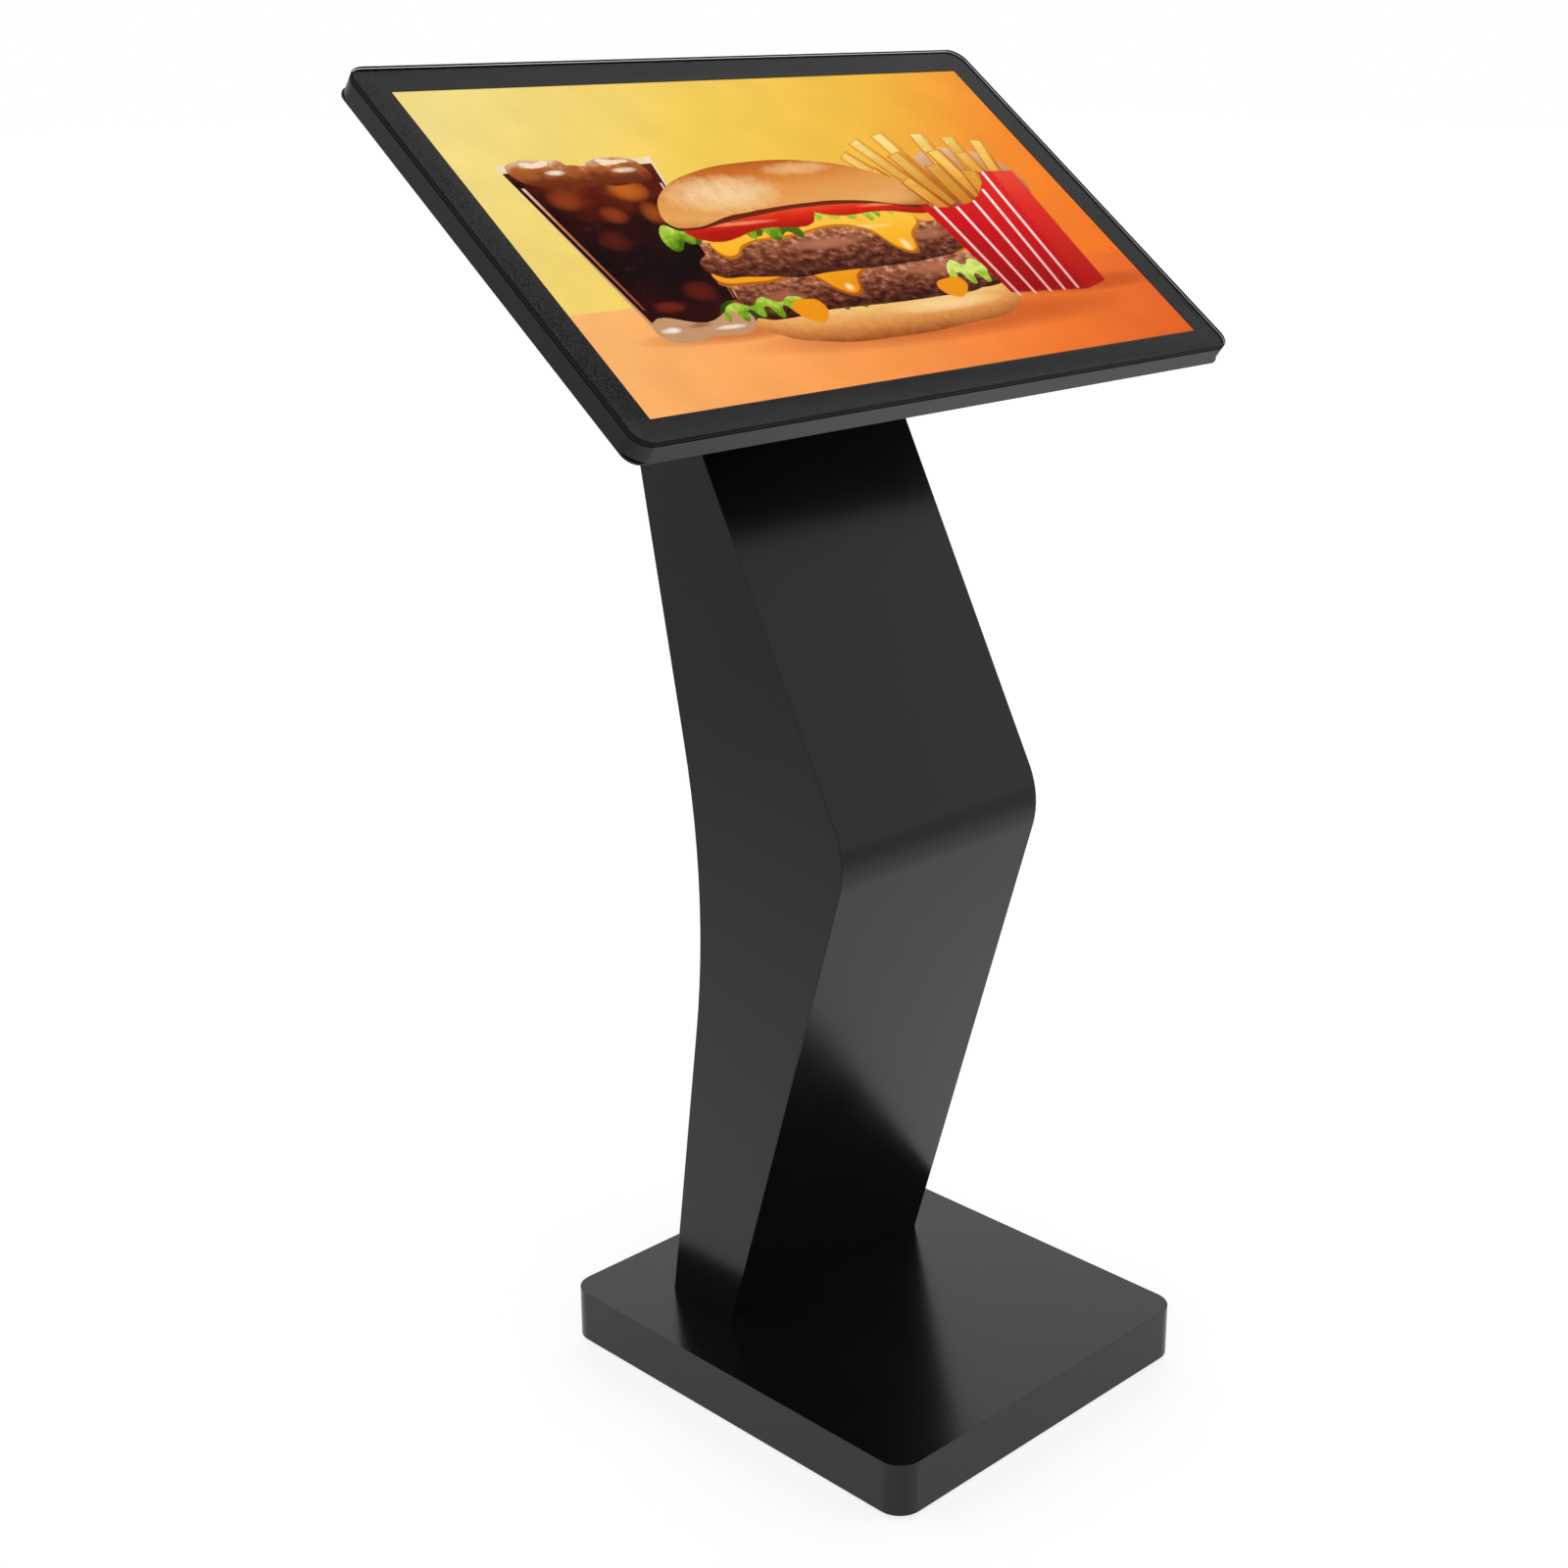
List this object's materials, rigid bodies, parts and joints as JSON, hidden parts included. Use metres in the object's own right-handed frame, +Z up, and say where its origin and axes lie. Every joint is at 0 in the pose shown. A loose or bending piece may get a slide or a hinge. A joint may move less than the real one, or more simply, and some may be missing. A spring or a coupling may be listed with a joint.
{
  "type": "touchscreen kiosk",
  "caption": "Free-standing touchscreen kiosk: a wide tilted landscape screen head on a cranked sheet-metal column with a knee, bolted to a low rectangular floor plinth.",
  "frame": {"origin": "on the floor, under the centre of the whole kiosk's bounding box", "axes": "+X to the user's right, +Y away from the user (the user stands at -Y), +Z up"},
  "size_m": [0.759, 0.4932, 1.2527],
  "materials": {
    "black_paint": "satin black powder coat",
    "zinc_steel": "zinc-plated",
    "chromed_lock": "polished",
    "black_rubber": "matt",
    "black_plastic": "fine-grained",
    "switch_red": "gloss",
    "contact_brass": "bright",
    "cast_aluminium": "satin",
    "lit_picture": "lit display",
    "border_ink": "printed black",
    "clear_glass": "polished",
    "board_green": "solder mask"
  },
  "bodies": {
    "stand": {"base_shell": "black_paint", "ballast_plate": "zinc_steel", "base_pillars": "zinc_steel", "base_screws": "zinc_steel", "foot_bushes": "zinc_steel", "backing_plate": "zinc_steel", "column_foot_plate": "black_paint", "foot_bolts": "zinc_steel", "column_front_panel": "black_paint", "column_side_left": "black_paint", "column_side_right": "black_paint", "column_rear_panel": "black_paint", "column_diaphragm": "black_paint", "column_top_plate": "black_paint", "door_surround": "black_paint", "door_seal": "black_rubber", "hinge_leaves_fixed": "zinc_steel", "hinge_pins": "zinc_steel", "supply_bracket": "zinc_steel", "power_supply": "cast_aluminium", "inlet_body": "black_plastic", "inlet_blades": "contact_brass", "inlet_lead": "black_rubber", "head_lead": "black_rubber", "neck_bracket": "black_paint", "neck_bolts": "zinc_steel", "head_bolts": "zinc_steel", "mount_plate": "zinc_steel", "rear_housing": "black_paint", "back_plate": "black_paint", "plate_screws": "zinc_steel", "head_frame": "black_paint", "panel_clips": "zinc_steel", "backlight_unit": "cast_aluminium", "display_panel": "lit_picture", "glass_gasket": "black_rubber", "border_print": "border_ink", "touch_glass": "clear_glass", "camera_module": "black_plastic", "circuit_boards": "board_green", "heat_sink": "cast_aluminium", "fan_frame": "black_plastic", "speakers": "black_plastic", "button_bezel": "chromed_lock"},
    "door": {"service_door": "black_paint", "hinge_leaves_door": "zinc_steel", "lock_body": "chromed_lock"},
    "lock": {"lock_plug": "chromed_lock", "lock_cam": "chromed_lock"},
    "rocker": {"inlet_rocker": "switch_red"},
    "button": {"power_button": "black_plastic"},
    "fan": {"fan_rotor": "black_plastic"},
    "foot_front_left": {"foot_stud_front_left": "zinc_steel", "foot_pad_front_left": "black_rubber"},
    "foot_front_right": {"foot_stud_front_right": "zinc_steel", "foot_pad_front_right": "black_rubber"},
    "foot_rear_left": {"foot_stud_rear_left": "zinc_steel", "foot_pad_rear_left": "black_rubber"},
    "foot_rear_right": {"foot_stud_rear_right": "zinc_steel", "foot_pad_rear_right": "black_rubber"}
  },
  "joints": [
    {"name": "door_hinge", "type": "hinge", "parent": "stand", "child": "door", "pos_m": [0.1, 0.11409, 0.22619], "axis": [0, 0.1311, -0.9914], "range_deg": [0, 110]},
    {"name": "lock_turn", "type": "hinge", "parent": "door", "child": "lock", "pos_m": [-0.079, 0.10963, 0.2256], "axis": [0, 0.9914, 0.1311], "range_deg": [0, 90]},
    {"name": "switch_rock", "type": "hinge", "parent": "stand", "child": "rocker", "pos_m": [-0.019, 0.12593, 0.08708], "axis": [1, 0, 0], "range_deg": [0, 18]},
    {"name": "button_press", "type": "slide", "parent": "stand", "child": "button", "axis": [-1, 0, 0], "range_m": [0, 0.0015], "stiffness_N_per_m": 400},
    {"name": "fan_spin", "type": "hinge", "parent": "stand", "child": "fan", "pos_m": [0.214, 0.17217, 1.12131], "axis": [0, -0.5948, 0.8039], "continuous": true},
    {"name": "level_front_left", "type": "slide", "parent": "stand", "child": "foot_front_left", "axis": [0, 0, -1], "range_m": [0, 0.012]},
    {"name": "level_front_right", "type": "slide", "parent": "stand", "child": "foot_front_right", "axis": [0, 0, -1], "range_m": [0, 0.012]},
    {"name": "level_rear_left", "type": "slide", "parent": "stand", "child": "foot_rear_left", "axis": [0, 0, -1], "range_m": [0, 0.012]},
    {"name": "level_rear_right", "type": "slide", "parent": "stand", "child": "foot_rear_right", "axis": [0, 0, -1], "range_m": [0, 0.012]}
  ]
}
